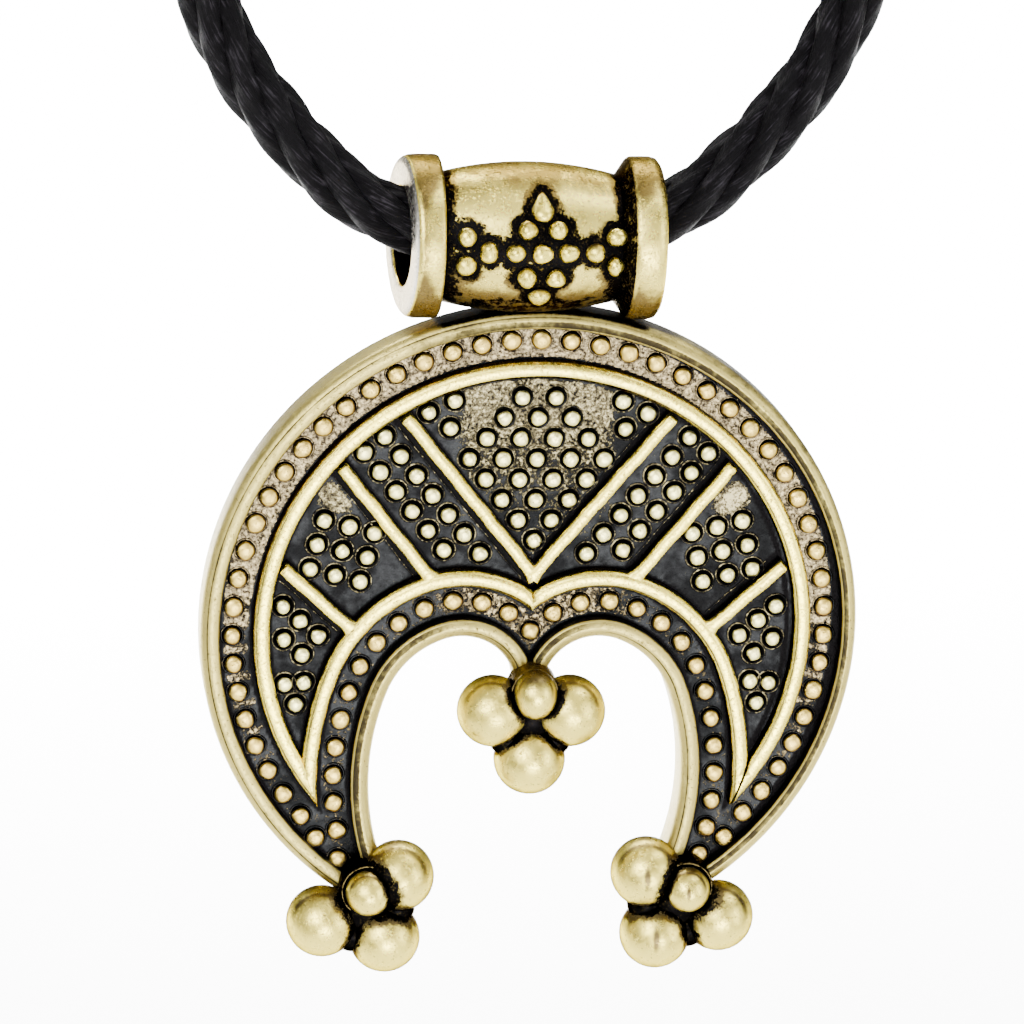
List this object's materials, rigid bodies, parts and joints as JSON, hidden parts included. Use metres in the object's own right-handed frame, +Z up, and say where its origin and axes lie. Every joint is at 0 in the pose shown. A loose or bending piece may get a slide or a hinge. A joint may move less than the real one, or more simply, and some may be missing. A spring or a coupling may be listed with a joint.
{
  "type": "crescent moon pendant on a cord",
  "caption": "Hanging crescent pendant with raised beaded bands, ball clusters at its tips and middle, and a barrel bail, on a closed black cord.",
  "frame": {"origin": "underside of the closing barrel at the inner top of the cord's loop, where a neck or hook carries the necklace", "axes": "+Z up, the pendant hangs below and its relief faces -Y, X runs along the bail from the wearer's right side to the left"},
  "size_m": [0.1222, 0.0093, 0.2126],
  "materials": {
    "antique_gold": "cast, worn pale antique gold with dark patina in the recesses",
    "black_cord": "twisted waxed cord",
    "clasp_gold": "satin antique gold"
  },
  "bodies": {
    "cord": {"cord": "black_cord", "clasp": "clasp_gold"},
    "pendant": {"pendant": "antique_gold"}
  },
  "joints": [
    {"name": "pendant_swing", "type": "hinge", "parent": "cord", "child": "pendant", "pos_m": [0, 0, -0.165], "axis": [1, 0, 0], "range_deg": [-90, 90]}
  ]
}
